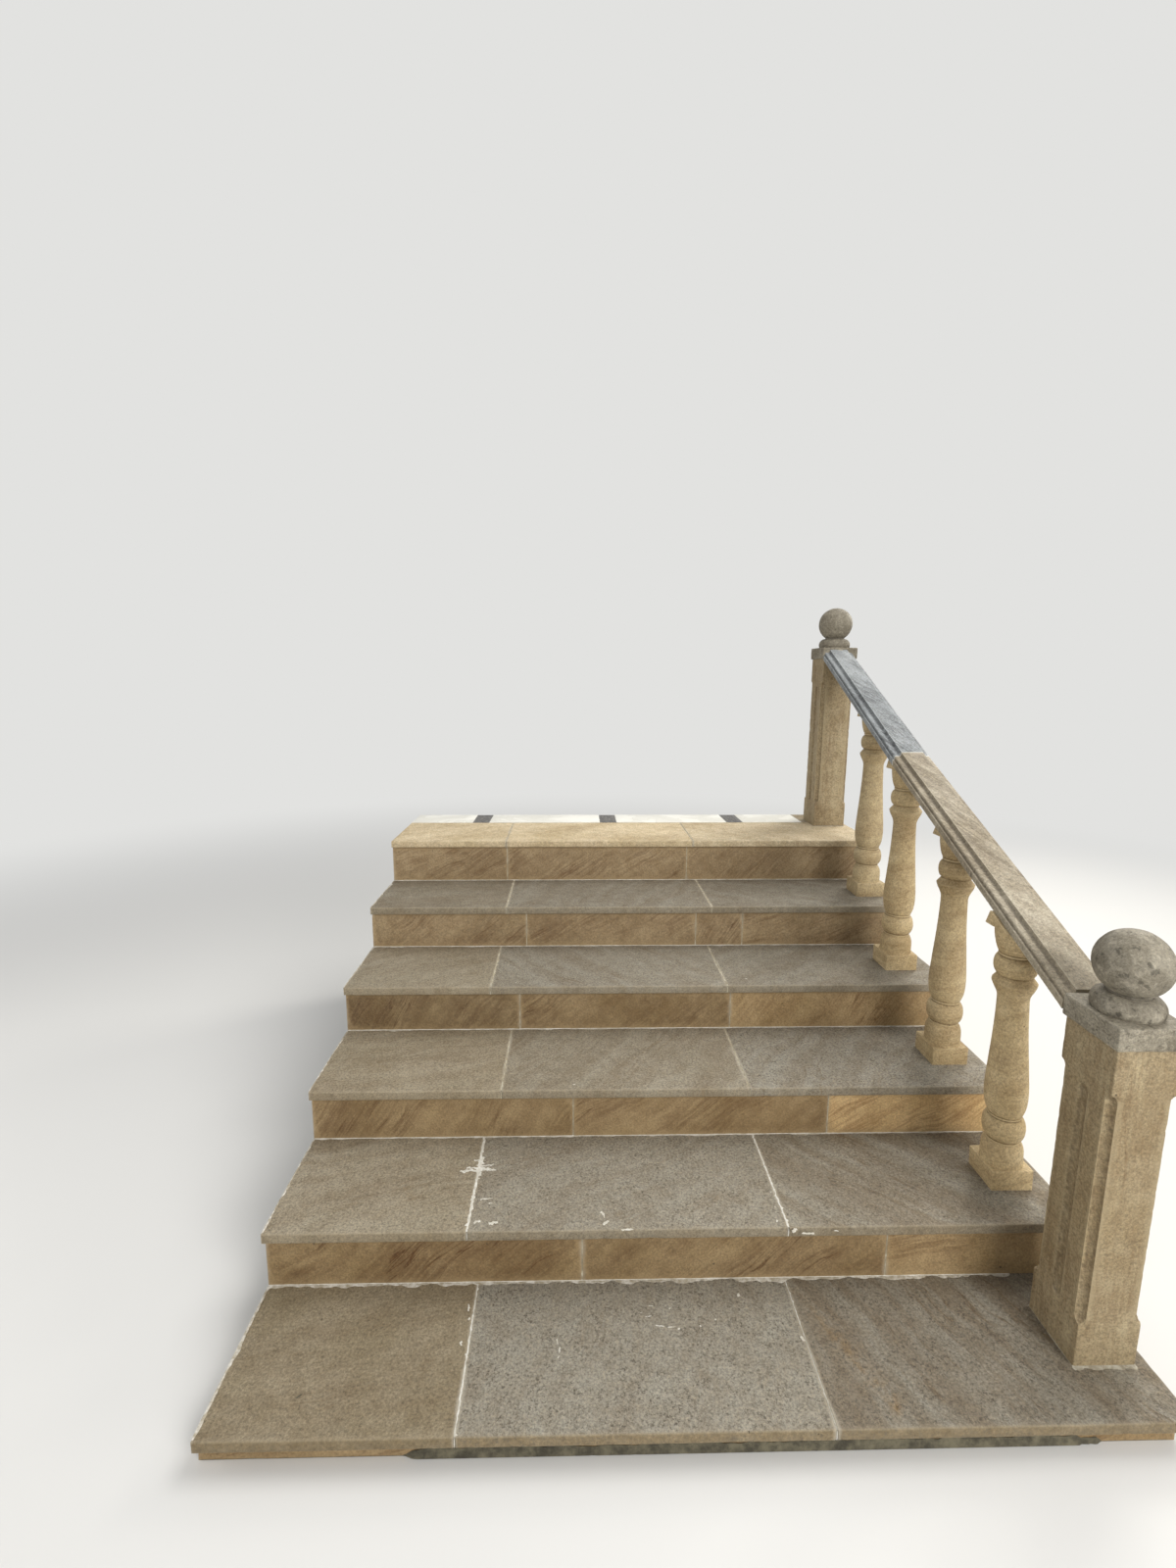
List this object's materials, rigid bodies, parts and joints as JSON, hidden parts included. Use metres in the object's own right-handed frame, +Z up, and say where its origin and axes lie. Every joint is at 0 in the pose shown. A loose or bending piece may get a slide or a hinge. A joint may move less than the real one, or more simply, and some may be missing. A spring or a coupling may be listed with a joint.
{
  "type": "outdoor stone stair",
  "caption": "Short outdoor flight of sandstone-faced steps with a turned stone balustrade on its open right side.",
  "frame": {"origin": "on the ground, under the middle of the flight's box", "axes": "+X across the flight towards the balustrade, +Y up the flight to the landing, +Z up"},
  "size_m": [1.87, 2.037, 1.724],
  "materials": {
    "tread_stone": "honed sandstone, fine pores",
    "riser_stone": "honed golden sandstone with slanting bands",
    "flank_stone": "honed sandstone",
    "newel_stone": "honed sandstone with upright grain",
    "cap_stone": "weathered sandstone with pale streaks",
    "baluster_stone": "turned sandstone",
    "rail_stone": "honed sandstone with slanting bands",
    "concrete": "cast concrete",
    "grout": "cement grout",
    "floor_tile": "satin floor tile",
    "mosaic_tile": "dark stone mosaic"
  },
  "bodies": {
    "root": {"core": "concrete", "bedding_mortar": "grout", "plinth_course": "riser_stone", "tread_1": "tread_stone", "tread_2": "tread_stone", "tread_3": "tread_stone", "tread_4": "tread_stone", "tread_5": "tread_stone", "tread_6": "tread_stone", "riser_2": "riser_stone", "riser_3": "riser_stone", "riser_4": "riser_stone", "riser_5": "riser_stone", "riser_6": "riser_stone", "flank_course_1": "flank_stone", "flank_course_2": "flank_stone", "flank_course_3": "flank_stone", "flank_course_4": "flank_stone", "flank_course_5": "flank_stone", "flank_course_6": "flank_stone", "flank_mortar": "grout", "landing_tiles": "floor_tile", "landing_mosaic": "mosaic_tile", "landing_edge_stone": "tread_stone", "lower_newel_shaft": "newel_stone", "lower_newel_cap": "cap_stone", "lower_newel_ball": "cap_stone", "upper_newel_shaft": "newel_stone", "upper_newel_cap": "cap_stone", "upper_newel_ball": "cap_stone", "baluster_1": "baluster_stone", "baluster_2": "baluster_stone", "baluster_3": "baluster_stone", "baluster_4": "baluster_stone", "handrail_lower": "rail_stone", "handrail_upper": "rail_stone"}
  },
  "joints": []
}
